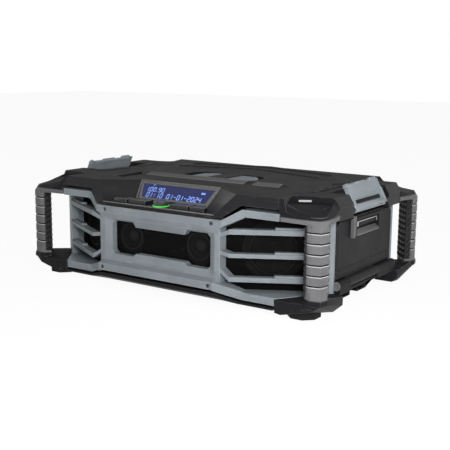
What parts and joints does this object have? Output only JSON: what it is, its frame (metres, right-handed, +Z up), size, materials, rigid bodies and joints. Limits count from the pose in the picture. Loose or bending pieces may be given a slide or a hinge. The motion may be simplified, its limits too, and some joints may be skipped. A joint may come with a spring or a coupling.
{
  "type": "jobsite radio",
  "caption": "Jobsite radio in a long box shape with open corner posts, a louvred front with side woofers and a window, a top display with keys and a knob, side latches and a battery door.",
  "frame": {"origin": "centre of the bounding box, on the floor under the feet", "axes": "+X to the right along the longest side, +Y to the rear, +Z up; the display and the controls face -Y"},
  "size_m": [0.5694, 0.387, 0.1825],
  "materials": {
    "lid_plastic": "fine-textured charcoal moulding",
    "tray_plastic": "black moulding",
    "cabinet_plastic": "black moulding",
    "grille_plastic": "blue-grey moulding",
    "guard_plastic": "dark grey glass-filled moulding",
    "latch_plastic": "blue-grey moulding",
    "door_plastic": "dark grey moulding",
    "seal_rubber": "foam rubber",
    "foot_rubber": "moulded rubber",
    "screw_steel": "black oxide",
    "pin_steel": "bright steel",
    "contact_plastic": "black moulding with contact blades",
    "basket_steel": "black painted pressed steel",
    "cone_fabric": "coated cone",
    "magnet_steel": "ferrite and steel",
    "bezel_plastic": "grey frame",
    "display_panel": "backlit display",
    "display_glass": "clear window over the display",
    "board_plastic": "circuit board",
    "encoder_metal": "steel",
    "sink_aluminium": "extruded aluminium",
    "knob_plastic": "black knob with grip ribs",
    "ring_plastic": "green light ring",
    "key_plastic": "soft keys"
  },
  "bodies": {
    "radio_body": {"base_tray": "tray_plastic", "body_shell": "cabinet_plastic", "top_lid": "lid_plastic", "lid_seal": "seal_rubber", "front_grille": "grille_plastic", "rear_grille": "grille_plastic", "grille_screws": "screw_steel", "corner_guard_fr": "guard_plastic", "corner_guard_fl": "guard_plastic", "corner_guard_rr": "guard_plastic", "corner_guard_rl": "guard_plastic", "foot_fr": "foot_rubber", "foot_fl": "foot_rubber", "foot_rr": "foot_rubber", "foot_rl": "foot_rubber", "lashing_bars": "pin_steel", "latch_pin_r": "pin_steel", "latch_pin_l": "pin_steel", "door_pin": "pin_steel", "side_cover": "door_plastic", "battery_bay": "cabinet_plastic", "battery_contacts": "contact_plastic", "woofer_basket_r": "basket_steel", "woofer_basket_l": "basket_steel", "woofer_cone_r": "cone_fabric", "woofer_cone_l": "cone_fabric", "woofer_magnet_r": "magnet_steel", "woofer_magnet_l": "magnet_steel", "driver_basket_r": "basket_steel", "driver_basket_l": "basket_steel", "driver_cone_r": "cone_fabric", "driver_cone_l": "cone_fabric", "driver_magnet_r": "magnet_steel", "driver_magnet_l": "magnet_steel", "window_screen": "cabinet_plastic", "rear_vent_panel": "cabinet_plastic", "display_bezel": "bezel_plastic", "display_module": "display_panel", "display_lens": "display_glass", "control_board": "board_plastic", "rotary_encoder": "encoder_metal", "knob_light_ring": "ring_plastic", "main_board": "board_plastic", "heat_sink": "sink_aluminium"},
    "latch_r": {"side_latch_r": "latch_plastic"},
    "latch_l": {"side_latch_l": "latch_plastic"},
    "lock_r": {"stack_lock_r": "latch_plastic"},
    "lock_l": {"stack_lock_l": "latch_plastic"},
    "door": {"battery_door": "door_plastic", "pull_pin": "pin_steel"},
    "pull": {"door_pull": "door_plastic", "pull_bail": "pin_steel"},
    "knob": {"volume_knob": "knob_plastic"},
    "outer_key_l": {"key_outer_l": "key_plastic"},
    "inner_key_l": {"key_inner_l": "key_plastic"},
    "inner_key_r": {"key_inner_r": "key_plastic"},
    "outer_key_r": {"key_outer_r": "key_plastic"}
  },
  "joints": [
    {"name": "latch_r_swing", "type": "hinge", "parent": "radio_body", "child": "latch_r", "pos_m": [0.2675, 0, 0.147], "axis": [0, 1, 0], "range_deg": [0, 60]},
    {"name": "latch_l_swing", "type": "hinge", "parent": "radio_body", "child": "latch_l", "pos_m": [-0.2675, 0, 0.147], "axis": [0, -1, 0], "range_deg": [0, 60]},
    {"name": "lock_r_slide", "type": "slide", "parent": "radio_body", "child": "lock_r", "axis": [1, 0, 0], "range_m": [0, 0.01]},
    {"name": "lock_l_slide", "type": "slide", "parent": "radio_body", "child": "lock_l", "axis": [-1, 0, 0], "range_m": [0, 0.01]},
    {"name": "door_swing", "type": "hinge", "parent": "radio_body", "child": "door", "pos_m": [0.268, 0, 0.0385], "axis": [0, 1, 0], "range_deg": [0, 95]},
    {"name": "pull_swing", "type": "hinge", "parent": "door", "child": "pull", "pos_m": [0.261, 0, 0.1247], "axis": [0, -1, 0], "range_deg": [0, 40]},
    {"name": "knob_turn", "type": "hinge", "parent": "radio_body", "child": "knob", "pos_m": [0, -0.1715, 0.146], "axis": [0, 0, 1], "continuous": true},
    {"name": "outer_key_l_press", "type": "slide", "parent": "radio_body", "child": "outer_key_l", "axis": [0, 0, -1], "range_m": [0, 0.0012], "stiffness_N_per_m": 400, "springref_m": -0.0005},
    {"name": "inner_key_l_press", "type": "slide", "parent": "radio_body", "child": "inner_key_l", "axis": [0, 0, -1], "range_m": [0, 0.0012], "stiffness_N_per_m": 400, "springref_m": -0.0005},
    {"name": "inner_key_r_press", "type": "slide", "parent": "radio_body", "child": "inner_key_r", "axis": [0, 0, -1], "range_m": [0, 0.0012], "stiffness_N_per_m": 400, "springref_m": -0.0005},
    {"name": "outer_key_r_press", "type": "slide", "parent": "radio_body", "child": "outer_key_r", "axis": [0, 0, -1], "range_m": [0, 0.0012], "stiffness_N_per_m": 400, "springref_m": -0.0005}
  ]
}
